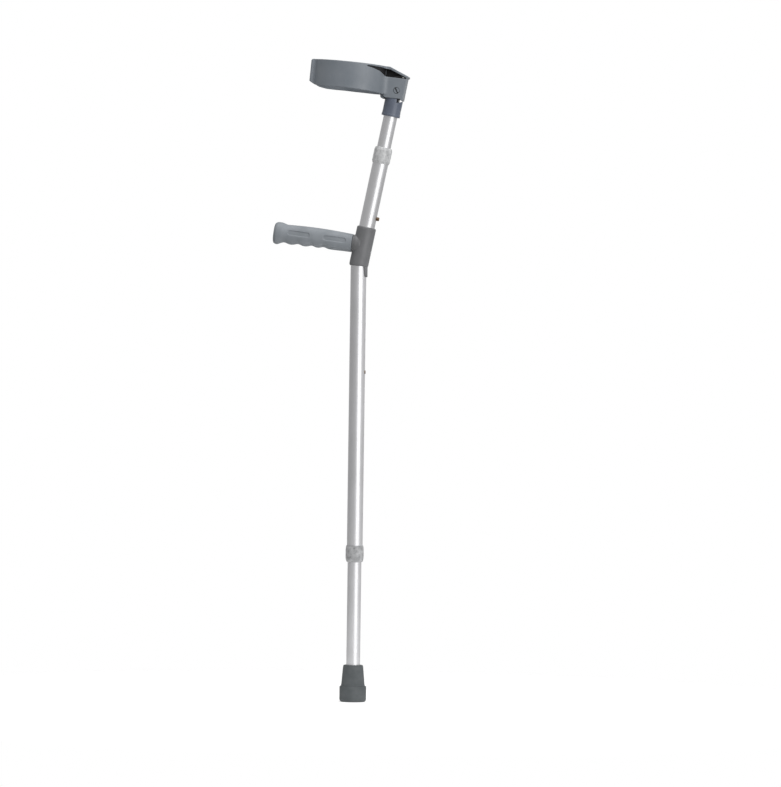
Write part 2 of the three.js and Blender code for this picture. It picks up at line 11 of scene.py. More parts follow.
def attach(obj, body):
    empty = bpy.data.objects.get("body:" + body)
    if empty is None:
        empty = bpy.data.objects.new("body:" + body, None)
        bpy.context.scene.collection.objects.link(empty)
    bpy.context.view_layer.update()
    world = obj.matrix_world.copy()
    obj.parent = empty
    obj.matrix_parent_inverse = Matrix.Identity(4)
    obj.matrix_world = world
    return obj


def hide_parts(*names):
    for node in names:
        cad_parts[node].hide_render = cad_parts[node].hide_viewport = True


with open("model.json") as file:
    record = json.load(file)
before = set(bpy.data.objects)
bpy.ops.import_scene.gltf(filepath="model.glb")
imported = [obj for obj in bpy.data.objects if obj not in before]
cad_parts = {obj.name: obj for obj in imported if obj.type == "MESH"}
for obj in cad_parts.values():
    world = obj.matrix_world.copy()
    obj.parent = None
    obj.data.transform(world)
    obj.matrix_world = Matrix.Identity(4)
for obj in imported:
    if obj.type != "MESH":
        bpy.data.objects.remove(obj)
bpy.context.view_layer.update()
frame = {"nodes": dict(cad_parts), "record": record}

# ------------------------------------------------------------ dimensions, in millimetres
MM = 0.001
OUTER_R, OUTER_BORE_R = 12.7, 11.5
INNER_R, INNER_BORE_R = 11.1, 9.9
GAP = 0.3
PITCH = 25.4
HOLE_R, BUTTON_R = 3.3, 3.0
LOWER_HOLES, UPPER_HOLES = 13, 4
LOWER_FIRST_HOLE_Z, UPPER_FIRST_HOLE_S = 302.5, 79.6
LEG_BUTTON_Z = LOWER_FIRST_HOLE_Z + 9 * PITCH
TUBE_BOTTOM_Z, TUBE_TOP_S = 229.4, 190.4
BEND_Z, BEND_R, LEAN = 702.7, 60.0, math.radians(11.4)
GRIP_S, GRIP_RISE = 34.5, math.radians(7.4)
GRIP_START, GRIP_LENGTH = 17.6, 128.0
SPIGOT_END = GRIP_START + GRIP_LENGTH - 14
SPIGOT_R, CORE_R, CORE_BORE_START = 9.7, 6.0, 15.6
SLEEVE_R, SLEEVE_LOW, SLEEVE_TOP = 15.5, -0.6, 63.5
NECK_R, NECK_END = 14.2, GRIP_START - GAP
BRACKET_RIVET_S, BRACKET_RIVET_R, BRACKET_RIVET_HEAD = 24.0, 2.1, 3.5
BRACKET_HOLE_R, BRACKET_SINK_R, BRACKET_SINK_FLOOR = 2.4, 3.9, 14.1
UPPER_COLLAR_R, UPPER_COLLAR_LOW, UPPER_COLLAR_HIGH = 14.5, 168.4, 194.5
LOWER_COLLAR_R, LOWER_COLLAR_LOW, LOWER_COLLAR_HIGH = 14.6, 224.8, 251.6
LEG_LOW, LEG_HIGH = 9.1, LEG_BUTTON_Z + 25
FOREARM_LOW, FOREARM_HIGH = 54.6, 267.5
LEG_BUTTON_PROUD, FOREARM_BUTTON_PROUD = 0.9, 4.3
FOOT_R, FOOT_TOP, FOOT_FLOOR, TREAD_RADII = 21.6, 59.1, 6.4, (8.5, 12.5, 16.5)
SOCKET_R, SOCKET_RIM_R, SOCKET_LOW, SOCKET_SHOULDER = 14.65, 15.1, 245.7, 275.3
SOCKET_RIVET_S, SOCKET_RIVET_R, SOCKET_HOLE_R = 256.0, 2.0, 2.3
TONGUE_TOP, TONGUE_FRONT, TONGUE_REAR, TONGUE_HALF = 23.3, -12.4, 8.1, 10.5
PIN_V, PIN_S, PIN_R, PIN_HEAD, PIN_SINK, PIN_END = 2.1, 288.0, 3.0, 4.8, 5.2, 14.5
EAR_IN, EAR_OUT, EAR_FRONT, EAR_LOW, EAR_HIGH = 10.9, 14.65, -21.0, -12.8, 20.7
BACK_TOP, BACK_BOTTOM, BACK_LOW, BACK_HIGH, BACK_WALL = 15.0, 11.2, -15.5, 22.8, 2.1
BAND_CENTRE, HALF_LENGTH, HALF_WIDTH, WALL, BAND_LOW, BAND_TOP = -79.5, 59.0, 52.4, 3.2, -20.0, 37.2
LIP_START, LIP_RADIUS, LIP_TURN, BEAD_R = math.radians(31), 7.0, math.radians(76), 2.3
CUFF_TILT, CUFF_SWING = math.radians(5.2), math.radians(15.0)
SIDES = 96

# Each piece is drawn in one of four frames, in millimetres, and placed by its matrix.
LOWER = Matrix.Scale(MM, 4)
UPPER = LOWER @ Matrix.Translation((0, 0, BEND_Z)) @ Matrix.Rotation(LEAN, 4, "Y")
HANDLE = UPPER @ Matrix.Translation((0, 0, GRIP_S)) @ Matrix.Rotation(GRIP_RISE - math.pi / 2 - LEAN, 4, "Y")
CUFF = UPPER @ Matrix.Translation((PIN_V, 0, PIN_S)) @ Matrix.Rotation(CUFF_TILT - LEAN, 4, "Y")
UPPER_TO_CUFF = CUFF.inverted() @ UPPER
CUFF_TO_UPPER = UPPER.inverted() @ CUFF
UPPER_TO_LOWER = Matrix.Scale(1 / MM, 4) @ UPPER
HANDLE_TO_LOWER = Matrix.Scale(1 / MM, 4) @ HANDLE
REARWARD = Matrix.Rotation(math.pi / 2, 4, "Y")   # turns +Z to +X


# ------------------------------------------------------------ mesh helpers
def mesh_object(name, points, faces):
    mesh = bpy.data.meshes.new(name)
    mesh.from_pydata([tuple(p) for p in points], [], faces)
    mesh.update()
    piece = bpy.data.objects.new(name, mesh)
    bpy.context.scene.collection.objects.link(piece)
    return piece


def outward(piece):
    """Turns every face of a closed mesh outwards."""
    work = bmesh.new()
    work.from_mesh(piece.data)
    bmesh.ops.remove_doubles(work, verts=work.verts, dist=1e-4)
    bmesh.ops.recalc_face_normals(work, faces=work.faces)
    work.to_mesh(piece.data)
    work.free()
    return piece


def rounded(points, radii, steps=5):
    """A line of 2-D points with its corners rounded; radii holds one radius for each point."""
    line = []
    for i, (point, radius) in enumerate(zip(points, radii)):
        here = Vector(point)
        if radius == 0 or i in (0, len(points) - 1):
            line.append(tuple(here))
            continue
        before, after = Vector(points[i - 1]) - here, Vector(points[i + 1]) - here
        half = before.angle(after) / 2
        cut = min(radius / math.tan(half), before.length * 0.49, after.length * 0.49)
        start, end = here + before.normalized() * cut, here + after.normalized() * cut
        for k in range(steps + 1):
            t = k / steps
            curve = start * (1 - t) ** 2 + here * 2 * t * (1 - t) + end * t ** 2
            line.append(tuple(curve))
    return line


def turned(name, profile, sides=SIDES):
    """A closed solid of revolution about Z from (radius, height) points."""
    closed = profile[0] == profile[-1]
    rows = profile[:-1] if closed else profile
    points, rings = [], []
    for radius, height in rows:
        if radius < 1e-6:
            rings.append([len(points)] * sides)
            points.append((0, 0, height))
            continue
        rings.append(list(range(len(points), len(points) + sides)))
        for k in range(sides):
            angle = 2 * math.pi * k / sides
            points.append((radius * math.cos(angle), radius * math.sin(angle), height))
    faces = []
    count = len(rings)
    for i in range(count if closed else count - 1):
        low, high = rings[i], rings[(i + 1) % count]
        for k in range(sides):
            corner = [low[k], low[(k + 1) % sides], high[(k + 1) % sides], high[k]]
            face = list(dict.fromkeys(corner))
            if len(face) > 2:
                faces.append(face)
    return outward(mesh_object(name, points, faces))


def extruded(name, points):
    """A solid between two like outlines, the first half of the points and the second."""
    count = len(points) // 2
    sides = [(i, (i + 1) % count, count + (i + 1) % count, count + i) for i in range(count)]
    ends = [tuple(range(count)), tuple(range(count, 2 * count))]
    return outward(mesh_object(name, points, sides + ends))


def prism(name, outline, low, high):
    """An outline of (x, z) points extruded across Y."""
    return extruded(name, [(x, y, z) for y in (low, high) for x, z in outline])


def pillar(name, outline, low, high):
    """An outline of (x, y) points extruded along Z."""
    return extruded(name, [(x, y, z) for z in (low, high) for x, y in outline])


def rod(name, radius, start, end, sides=32):
    """A round bar from one point to another."""
    way = Vector(end) - Vector(start)
    piece = turned(name, [(0, 0), (radius, 0), (radius, way.length), (0, way.length)], sides)
    piece.data.transform(Matrix.Translation(start) @ way.to_track_quat("Z", "Y").to_matrix().to_4x4())
    return piece


def bake(piece):
    """Applies a piece's modifiers to its mesh."""
    bpy.context.view_layer.update()
    evaluated = piece.evaluated_get(bpy.context.evaluated_depsgraph_get())
    mesh = bpy.data.meshes.new_from_object(evaluated)
    old = piece.data
    piece.modifiers.clear()
    piece.data = mesh
    bpy.data.meshes.remove(old)
    return piece


def joined(piece, tools, operation):
    """Adds to, cuts or keeps part of a piece with each tool, and removes the tools."""
    for tool in tools:
        step = piece.modifiers.new("join", "BOOLEAN")
        step.operation = operation
        step.solver = "EXACT"
        step.object = tool
        bake(piece)
        bpy.data.objects.remove(tool)
    return piece


def cut(piece, *tools):
    """Cuts each tool out of a piece."""
    return joined(piece, tools, "DIFFERENCE")


def fused(piece, *tools):
    """Adds each tool to a piece."""
    return joined(piece, tools, "UNION")


def moulded(piece, voxel, smoothing, factor=0.5):
    """Remeshes a solid evenly and smooths it, so that its edges and inner corners become fillets."""
    remesh = piece.modifiers.new("remesh", "REMESH")
    remesh.mode = "VOXEL"
    remesh.voxel_size = voxel
    remesh.adaptivity = 0
    smooth = piece.modifiers.new("smooth", "SMOOTH")
    smooth.factor = factor
    smooth.iterations = smoothing
    return bake(piece)


def bent(piece):
    """Bends a piece drawn straight, with height 0 at the middle of the bend."""
    half = BEND_R * LEAN / 2
    base = BEND_Z - BEND_R * math.tan(LEAN / 2)
    for vertex in piece.data.vertices:
        across, along = vertex.co.x, vertex.co.z + half
        angle = min(max(along / BEND_R, 0), LEAN)
        straight = along - angle * BEND_R
        reach = BEND_R - across
        vertex.co.x = BEND_R - reach * math.cos(angle) + straight * math.sin(angle)
        vertex.co.z = base + reach * math.sin(angle) + straight * math.cos(angle)
    return piece


def bend_rows(radius, low, high):
    """Profile points of constant radius with rows through the bend between the two ends."""
    half = BEND_R * LEAN / 2
    rows = [-half + 2 * half * k / 10 for k in range(11)]
    return [(radius, low)] + [(radius, z) for z in rows if low < z < high] + [(radius, high)]


def finished(piece, material, body, slot, *nodes, matrix=LOWER, sharp=32):
    """Places a piece in the crutch's frame, gives it its finish and hands it to its body."""
    piece.data.transform(matrix)
    piece.data.materials.clear()
    piece.data.materials.append(material)
    piece.data.shade_smooth()
    piece.data.set_sharp_from_angle(angle=math.radians(sharp))
    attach(piece, body)
    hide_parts(*nodes)
    return piece


# ------------------------------------------------------------ materials
def new_material(name, **constants):
    material = bpy.data.materials.new(name)
    material.use_nodes = True
    shader = material.node_tree.nodes["Principled BSDF"]
    for socket, value in constants.items():
        shader.inputs[socket.replace("_", " ")].default_value = value
    return material, material.node_tree, shader


def noise(tree, scale, detail=3.0, stretch=(1, 1, 1), rough=0.55):
    """Noise in the object's own metres; stretch shortens or lengthens its grain along each axis."""
    place = tree.nodes.new("ShaderNodeTexCoord")
    mapping = tree.nodes.new("ShaderNodeMapping")
    mapping.inputs["Scale"].default_value = stretch
    texture = tree.nodes.new("ShaderNodeTexNoise")
    texture.inputs["Scale"].default_value = scale
    texture.inputs["Detail"].default_value = detail
    texture.inputs["Roughness"].default_value = rough
    tree.links.new(place.outputs["Object"], mapping.inputs["Vector"])
    tree.links.new(mapping.outputs["Vector"], texture.inputs["Vector"])
    return texture.outputs["Fac"]


def spread(tree, value, low, high, source_low=0.3, source_high=0.7):
    """Maps a 0 to 1 value to a range."""
    node = tree.nodes.new("ShaderNodeMapRange")
    node.inputs["From Min"].default_value = source_low
    node.inputs["From Max"].default_value = source_high
    node.inputs["To Min"].default_value = low
    node.inputs["To Max"].default_value = high
    tree.links.new(value, node.inputs["Value"])
    return node.outputs["Result"]


def tinted(tree, shader, value, dark, light):
    """Base colour that varies between two colours."""
    mix = tree.nodes.new("ShaderNodeMix")
    mix.data_type = "RGBA"
    mix.inputs["A"].default_value = (*dark, 1)
    mix.inputs["B"].default_value = (*light, 1)
    tree.links.new(value, mix.inputs["Factor"])
    tree.links.new(mix.outputs["Result"], shader.inputs["Base Color"])


def bumped(tree, shader, value, strength, distance):
    """Fine relief from a 0 to 1 value; distance is its height in metres."""
    bump = tree.nodes.new("ShaderNodeBump")
    bump.inputs["Strength"].default_value = strength
    bump.inputs["Distance"].default_value = distance
    tree.links.new(value, bump.inputs["Height"])
    tree.links.new(bump.outputs["Normal"], shader.inputs["Normal"])


def drawn_metal(name, dark, light, rough=(0.36, 0.44), along=0.02):
    """Satin drawn tube: fine lines along Z, slight haze and a few handling marks."""
    material, tree, shader = new_material(name, Metallic=1.0)
    lines = noise(tree, 1800, 2, (1, 1, along))
    haze = noise(tree, 18, 4)
    tinted(tree, shader, spread(tree, haze, 0, 1), dark, light)
    both = tree.nodes.new("ShaderNodeMath")
    both.operation = "ADD"
    tree.links.new(spread(tree, lines, 0, 0.5), both.inputs[0])
    tree.links.new(spread(tree, haze, 0, 0.5), both.inputs[1])
    tree.links.new(spread(tree, both.outputs[0], rough[0], rough[1], 0, 1), shader.inputs["Roughness"])
    bumped(tree, shader, lines, 0.03, 0.0001)
    return material


def moulded_plastic(name, dark, light, rough=(0.38, 0.5), grain=1500, relief=0.12, drift_scale=34):
    """Injection-moulded plastic: fine spark grain, slow colour drift and duller patches."""
    material, tree, shader = new_material(name, Metallic=0.0)
    drift = noise(tree, drift_scale, 4)
    fine = noise(tree, grain, 2)
    tinted(tree, shader, spread(tree, drift, 0, 1), dark, light)
    tree.links.new(spread(tree, drift, rough[1], rough[0]), shader.inputs["Roughness"])
    bumped(tree, shader, fine, relief, 0.00025)
    return material


def rubber(name, dark, light):
    """Matt rubber with a dusty bloom and a pebbled skin."""
    material, tree, shader = new_material(name, Metallic=0.0)
    shader.inputs["Specular IOR Level"].default_value = 0.35
    bloom = noise(tree, 60, 6)
    skin = noise(tree, 900, 3)
    tinted(tree, shader, spread(tree, bloom, 0, 1), dark, light)
    tree.links.new(spread(tree, bloom, 0.62, 0.85), shader.inputs["Roughness"])
    bumped(tree, shader, skin, 0.35, 0.0003)
    return material


MATERIALS = {
    "tube": drawn_metal("satin_aluminium", (0.66, 0.66, 0.67), (0.72, 0.72, 0.735)),
    "steel": drawn_metal("plated_steel", (0.42, 0.42, 0.44), (0.56, 0.56, 0.58), (0.25, 0.4), along=1),
    "brass": drawn_metal("aged_brass", (0.13, 0.085, 0.055), (0.22, 0.15, 0.09), (0.34, 0.5), along=1),
    "bracket": moulded_plastic("bracket_plastic", (0.125, 0.127, 0.132), (0.165, 0.167, 0.173)),
    "grip": moulded_plastic("grip_plastic", (0.205, 0.225, 0.245), (0.26, 0.28, 0.305), (0.5, 0.66),
                            grain=700, relief=0.3),
    "cuff": moulded_plastic("cuff_plastic", (0.165, 0.187, 0.212), (0.20, 0.22, 0.245), (0.34, 0.46)),
    # painted shade: a near-black matt plastic for faces that lie deep in shadow, not a colour of the plastic
    "recess": moulded_plastic("recess_plastic", (0.004, 0.004, 0.005), (0.009, 0.009, 0.011), (0.7, 0.85)),
    "socket": moulded_plastic("socket_plastic", (0.085, 0.10, 0.135), (0.12, 0.14, 0.185), (0.34, 0.46)),
    "pale_collar": moulded_plastic("pale_plastic", (0.36, 0.365, 0.37), (0.68, 0.685, 0.69), (0.22, 0.4),
                                   drift_scale=150),
    "grey_collar": moulded_plastic("collar_plastic", (0.22, 0.223, 0.228), (0.44, 0.443, 0.45), (0.4, 0.55),
                                   drift_scale=170),
    "plug": moulded_plastic("plug_plastic", (0.022, 0.022, 0.024), (0.035, 0.035, 0.038)),
    "foot_rubber": rubber("foot_rubber", (0.06, 0.068, 0.072), (0.095, 0.103, 0.107)),
    "ring_rubber": rubber("ring_rubber", (0.03, 0.03, 0.032), (0.05, 0.05, 0.052)),
}


# ------------------------------------------------------------ tubes and buttons
def rear_hole(height, start=6):
    """A drill through the rear wall of a tube."""
    return rod("hole", HOLE_R, (start, 0, height), (16, 0, height))


def tube_profile(inner, outer, low, high, chamfer=0.35):
    """A ring-shaped section with chamfered rims, through the bend where it crosses it."""
    walls = bend_rows(outer, low + chamfer, high - chamfer)
    bore = bend_rows(inner, low + chamfer, high - chamfer)
    profile = [(inner + chamfer, low), (outer - chamfer, low), *walls, (outer - chamfer, high),
               (inner + chamfer, high), *reversed(bore), (inner + chamfer, low)]
    return profile


def make_handle_tube():
    low = TUBE_BOTTOM_Z - BEND_Z
    tube = bent(turned("handle_tube_skin", tube_profile(OUTER_BORE_R, OUTER_R, low, TUBE_TOP_S)))
    lower = [rear_hole(LOWER_FIRST_HOLE_Z + PITCH * k) for k in range(LOWER_HOLES)]
    upper = [rear_hole(UPPER_FIRST_HOLE_S + PITCH * k) for k in range(UPPER_HOLES)]
    for hole in upper:
        hole.data.transform(UPPER_TO_LOWER)
    cut(tube, *lower, *upper)
    finished(tube, MATERIALS["tube"], "frame", "tube", "handle_tube")


def make_sliding_tube(name, node, body, low, high, button, matrix):
    chamfer = 0.3
    tube = turned(name, [(INNER_BORE_R, low), (INNER_R - chamfer, low), (INNER_R, low + chamfer),
                         (INNER_R, high - chamfer), (INNER_R - chamfer, high), (INNER_BORE_R, high),
                         (INNER_BORE_R, low)])
    cut(tube, rear_hole(button, start=5))
    finished(tube, MATERIALS["tube"], body, "tube", node, matrix=matrix)


def make_button(name, node, body, height, proud, matrix):
    """A domed button with a flange that holds it inside the sliding tube."""
    back, flange, flange_r, top = 7.4, 8.3, 4.2, OUTER_R + proud
    corners = [(0, back), (flange_r, back), (flange_r, flange), (BUTTON_R, flange), (BUTTON_R, top),
               (0, top)]
    profile = rounded(corners, [0, 0.2, 0.2, 0.1, min(2.2, proud), 0], 8)
    button = turned(name, profile, 48)
    button.data.transform(Matrix.Translation((0, 0, height)) @ REARWARD)
    finished(button, MATERIALS["brass"], body, "brass", node, matrix=matrix)


# ------------------------------------------------------------ handle
def bracket_neck():
    """The neck that carries the grip, flared where it leaves the sleeve."""
    profile = rounded([(0, 4), (NECK_R + 1.6, 4), (NECK_R + 1.4, 12), (NECK_R, 15.6),
                       (NECK_R - 0.2, NECK_END), (0, NECK_END)], [0, 0, 4, 2, 0.5, 0])
    neck = turned("neck", profile, 64)
    neck.data.transform(HANDLE_TO_LOWER)
    return neck


def bracket_tongue():
    """The narrowing tongue that runs down the rear of the tube below the sleeve."""
    radius, top, half_top, waist, half_waist, end, half_end = 14.7, 8, 10.5, -4, 9.2, -18.4, 7.2
    skirt = [(0, -19), (radius - 0.1, -19), *bend_rows(radius, -18, 6), (0, 6)]
    tongue = bent(turned("tongue", skirt, 64))
    outline = rounded([(half_top, top), (half_waist, waist), (half_end, end), (-half_end, end),
                       (-half_waist, waist), (-half_top, top)], [0, 4, 3.4, 3.4, 4, 0])
    shape = prism("shape", outline, 5, 20)
    shape.data.transform(Matrix.Translation((0, 0, BEND_Z)) @ Matrix.Rotation(-math.pi / 2, 4, "Z"))
    return joined(tongue, [shape], "INTERSECT")


def bracket_spigot():
    """The spigot inside the grip; its root starts inside the neck."""
    root = NECK_END - 3
    spigot = turned("spigot", [(0, root), (SPIGOT_R, root), (SPIGOT_R, SPIGOT_END - 1),
                               (SPIGOT_R - 1, SPIGOT_END), (0, SPIGOT_END)], 64)
    spigot.data.transform(HANDLE_TO_LOWER)
    return spigot


def make_bracket():
    corner, bevel = 2.2, 0.6
    sleeve = [(0, SLEEVE_LOW), (SLEEVE_R - corner, SLEEVE_LOW), (SLEEVE_R - bevel, SLEEVE_LOW + bevel),
              *bend_rows(SLEEVE_R, SLEEVE_LOW + corner, SLEEVE_TOP - corner),
              (SLEEVE_R - bevel, SLEEVE_TOP - bevel), (SLEEVE_R - corner, SLEEVE_TOP), (0, SLEEVE_TOP)]
    bracket = bent(turned("handle_bracket_shell", sleeve, 64))
    fused(bracket, bracket_neck(), bracket_tongue())
    moulded(bracket, 0.5, 9)
    fused(bracket, bracket_spigot())
    bore = bent(turned("bore", [(0, -60), *bend_rows(OUTER_R + GAP, -60, 80), (0, 80)], 64))
    core = rod("core", CORE_R + GAP, (0, 0, CORE_BORE_START), (0, 0, SPIGOT_END + 1))
    core.data.transform(HANDLE_TO_LOWER)
    rivet = turned("rivet", [(0, 9), (BRACKET_HOLE_R, 9), (BRACKET_HOLE_R, BRACKET_SINK_FLOOR),
                             (BRACKET_SINK_R, BRACKET_SINK_FLOOR), (BRACKET_SINK_R, 19), (0, 19)], 48)
    rivet.data.transform(UPPER_TO_LOWER @ Matrix.Translation((0, 0, BRACKET_RIVET_S)) @ REARWARD)
    cut(bracket, bore, core, rivet)
    finished(bracket, MATERIALS["bracket"], "frame", "bracket", "handle_bracket", sharp=50)


GROOVES = (45.3, 64.6, 87.2, 109.7)        # finger grooves, distances from the grip's inner end
GROOVE_DEPTH, GROOVE_REACH = 2.4, 6.2
PANELS = ((9.5, 47.0), (69.0, 105.0))      # recessed panels of each side, from and to
PANEL_DEPTH, PANEL_ROUND, PANEL_HEIGHT = 1.25, 3.9, 2.4
SQUARENESS, TIP_EDGE = 2.3, 6.0            # power of the section's superellipse; length of the rounded tip


def ease(value, low, high):
    """A smooth step from 0 at low to 1 at high."""
    t = np.clip((value - low) / (high - low), 0, 1)
    return t * t * (3 - 2 * t)


def grip_section(t, turn):
    """Points of the grip's skin at distances t from its inner end and at angles from its top."""
    up, side = np.cos(turn), np.sin(turn)
    top = 14.7 + 2 * np.sin(math.pi * t / 115) + 3 * ease(t, 106, 118)
    groove = sum(np.exp(-(((t - middle) / GROOVE_REACH) ** 2)) for middle in GROOVES)
    under = 14.4 + 2.6 * t / GRIP_LENGTH - GROOVE_DEPTH * groove + 1.8 * ease(t, 114, 122)
    wide = 14.5 + 0.4 * t / GRIP_LENGTH + 1.8 * ease(t, 104, 117)
    square = (np.abs(up) ** SQUARENESS + np.abs(side) ** SQUARENESS) ** (-1 / SQUARENESS)
    end = np.clip((t - (GRIP_LENGTH - TIP_EDGE)) / TIP_EDGE, 0, 1)
    start = np.clip(1.0 - t, 0, 1)
    inset = 5.0 * (1 - np.sqrt(np.clip(1 - end ** 2, 0, 1)))
    inset = inset + 0.8 * (1 - np.sqrt(np.clip(1 - start ** 2, 0, 1)))
    x = up * square * (np.where(up > 0, top, under) - inset)
    y = side * square * (wide - inset)
    for low, high in PANELS:
        middle, reach = (low + high) / 2, (high - low) / 2 - PANEL_ROUND
        along = np.maximum(np.abs(t - middle) - reach, 0)
        distance = np.sqrt(along ** 2 + (x - PANEL_HEIGHT) ** 2)
        depth = PANEL_DEPTH * (1 - ease(distance, 3.1, 4.3))
        y = y - np.sign(side) * depth * (np.abs(side) > 0.5)
    return x, y


def make_grip():
    rows, around = 300, 176
    t = np.linspace(0, GRIP_LENGTH, rows)[:, None]
    turn = np.linspace(0, 2 * math.pi, around, endpoint=False)[None, :]
    x, y = grip_section(t, turn)
    z = np.broadcast_to(t + GRIP_START, x.shape)
    points = np.stack([x, y, z], -1).reshape(-1, 3).tolist()
    faces = []
    for i in range(rows - 1):
        for k in range(around):
            a, b = i * around + k, i * around + (k + 1) % around
            faces.append((a, b, b + around, a + around))
    faces.append(tuple(range(around)))
    faces.append(tuple(range((rows - 1) * around, rows * around)))
    grip = outward(mesh_object("hand_grip_skin", points, faces))
    bore = rod("bore", SPIGOT_R + GAP, (0, 0, GRIP_START - 1), (0, 0, SPIGOT_END + 1), 64)
    cut(grip, bore)
    finished(grip, MATERIALS["grip"], "frame", "grip", "hand_grip", matrix=HANDLE, sharp=40)


# ------------------------------------------------------------ collars and foot
def make_collar(name, node, slot, radius, low, high, tube_end, lip, matrix, taper):
    """A collar over the outer tube's end; lip is 1 where that end points up and -1 where it points down."""
    rim, back = (high, low) if lip > 0 else (low, high)
    seat = tube_end + lip * 2.6
    outside = [(OUTER_R + GAP, back), (radius - 1.0, back), (radius - taper * 0.5, back + lip * 3.4),
               (radius, back + lip * 7), (radius, rim - lip * 8), (radius - taper, rim - lip * 4),
               (radius - 1.2 - taper, rim - lip * 0.6), (radius - 2.2 - taper, rim), (INNER_R + GAP, rim)]
    outside = rounded(outside, [0, 0.6, 2, 3, 3, 3, 0.6, 0.4, 0])
    inside = [(INNER_R + GAP, seat), (OUTER_R + GAP, seat), (OUTER_R + GAP, back)]
    collar = turned(name, [*outside, *inside])
    if lip < 0:
        dimple_z = high - 4.6
        cut(collar, rod("dimple", 1.2, (0.5, -16, dimple_z), (0.5, -13.3, dimple_z), 24))
    finished(collar, MATERIALS[slot], "frame", slot, node, matrix=matrix)


def make_ferrule():
    bore_r, flare, tread = INNER_R + GAP, 0.5, 0.8
    outside = [(0, 0), (20.4, 0), (FOOT_R, 4), (FOOT_R, 24.6), (19.4, 25.6), (18.8, 28), (16.4, 55),
               (15.6, FOOT_TOP), (bore_r + flare, FOOT_TOP)]
    outside = rounded(outside, [0, 3.2, 2, 1.4, 1.2, 3, 3, 3.4, 0], 8)
    bore = rounded([(bore_r + flare, FOOT_TOP), (bore_r, 57.6), (bore_r, FOOT_FLOOR), (0, FOOT_FLOOR)],
                   [0, 0.4, 0.4, 0])
    foot = turned("ferrule_skin", [*outside, *bore[1:]])
    for radius in TREAD_RADII:
        ring = [(radius - tread, -1), (radius + tread, -1), (radius + tread, 1.5), (radius - tread, 1.5),
                (radius - tread, -1)]
        cut(foot, turned("tread", ring))
    finished(foot, MATERIALS["foot_rubber"], "leg", "foot_rubber", "ferrule")


# ------------------------------------------------------------ cuff socket
def paint_shade(piece, is_shaded):
    """Paints shade on the faces of a piece that lie in deep hollows: they get the near-black painted shade
    material as a second slot.
    """
    piece.data.materials.append(MATERIALS["recess"])
    for face in piece.data.polygons:
        if is_shaded(face.center):
            face.material_index = 1


def ear_room(name, top, swing):
    """The room that the cuff's ears and back wall need with the cuff swung up by an angle."""
    wide = 40
    square = [(-wide, -wide), (wide, -wide), (wide, wide), (-wide, wide)]
    room = pillar(name, square, EAR_LOW - 0.4, top)
    room.data.transform(CUFF_TO_UPPER @ Matrix.Rotation(swing, 4, "Y"))
    return room


def back_room():
    """The room that the foot of the cuff's back wall sweeps behind the tongue as it swings."""
    front = TONGUE_REAR - 2.1
    reach = math.hypot(BACK_BOTTOM, BACK_LOW) + 0.4
    swept = rod("swept", reach, (PIN_V, -40, PIN_S), (PIN_V, 40, PIN_S), 96)
    behind = prism("behind", [(front, SOCKET_LOW), (40, SOCKET_LOW), (40, PIN_S), (front, PIN_S)], -40, 40)
    return joined(swept, [behind], "INTERSECT")


def make_socket():
    body = rounded([(0, SOCKET_LOW), (SOCKET_RIM_R, SOCKET_LOW), (SOCKET_RIM_R, SOCKET_LOW + 2.6),
                    (SOCKET_R, SOCKET_LOW + 4.5), (SOCKET_R, SOCKET_SHOULDER), (0, SOCKET_SHOULDER)],
                   [0, 0.8, 0.8, 2, 0.5, 0])
    socket = turned("cuff_socket_shell", body)
    cut(socket, ear_room("rest", 30, 0), ear_room("up", 60, CUFF_SWING), back_room())
    start = math.acos((TONGUE_REAR - PIN_V) / TONGUE_TOP)
    stop = math.acos((TONGUE_FRONT - PIN_V) / TONGUE_TOP)
    crown = [(PIN_V + TONGUE_TOP * math.cos(a), PIN_S + TONGUE_TOP * math.sin(a))
             for a in np.linspace(start, stop, 28)]
    fused(socket, prism("tongue", [(-9, 270), (TONGUE_REAR, 270), *crown, (TONGUE_FRONT, 276)],
                        -TONGUE_HALF, TONGUE_HALF))
    cut(socket, rod("bore", INNER_R + GAP, (0, 0, SOCKET_LOW - 1), (0, 0, 267.8), SIDES),
        rod("rivet", SOCKET_HOLE_R, (-20, 0, SOCKET_RIVET_S), (20, 0, SOCKET_RIVET_S)),
        rod("pin", PIN_R + 0.4, (PIN_V, -20, PIN_S), (PIN_V, 20, PIN_S)))
    for side in (1, -1):
        sink = turned("sink", [(0, 12.8), (2.2, 12.8), (4.2, 15.2), (0, 15.2)], 32)
        turn = Matrix.Rotation(side * math.pi / 2, 4, "Y")
        sink.data.transform(Matrix.Translation((0, 0, SOCKET_RIVET_S)) @ turn)
        cut(socket, sink)
    finished(socket, MATERIALS["socket"], "forearm", "socket", "cuff_socket", matrix=UPPER, sharp=40)
    # Painted shade: the faces of the tongue's crown, high between the cuff's ears, get the near-black
    # painted shade material.
    to_upper = UPPER.inverted()
    paint_shade(socket, lambda centre: (to_upper @ centre).z > PIN_S + 6)


# ------------------------------------------------------------ cuff
def arm_line(side, inset=0.0):
    """One arm's centre line in plan, from the rear to its flared lip."""
    line = []
    for angle in np.linspace(math.pi, LIP_START, 70):
        line.append((BAND_CENTRE - (HALF_LENGTH - inset) * math.cos(angle),
                     side * (HALF_WIDTH - inset) * math.sin(angle)))
    (x0, y0), (x1, y1) = line[-2], line[-1]
    heading = math.atan2(y1 - y0, x1 - x0)
    x, y, steps = x1, y1, 18
    for _ in range(steps):
        heading -= side * LIP_TURN / steps
        x += LIP_RADIUS * LIP_TURN / steps * math.cos(heading)
        y += LIP_RADIUS * LIP_TURN / steps * math.sin(heading)
        line.append((x, y))
    return line


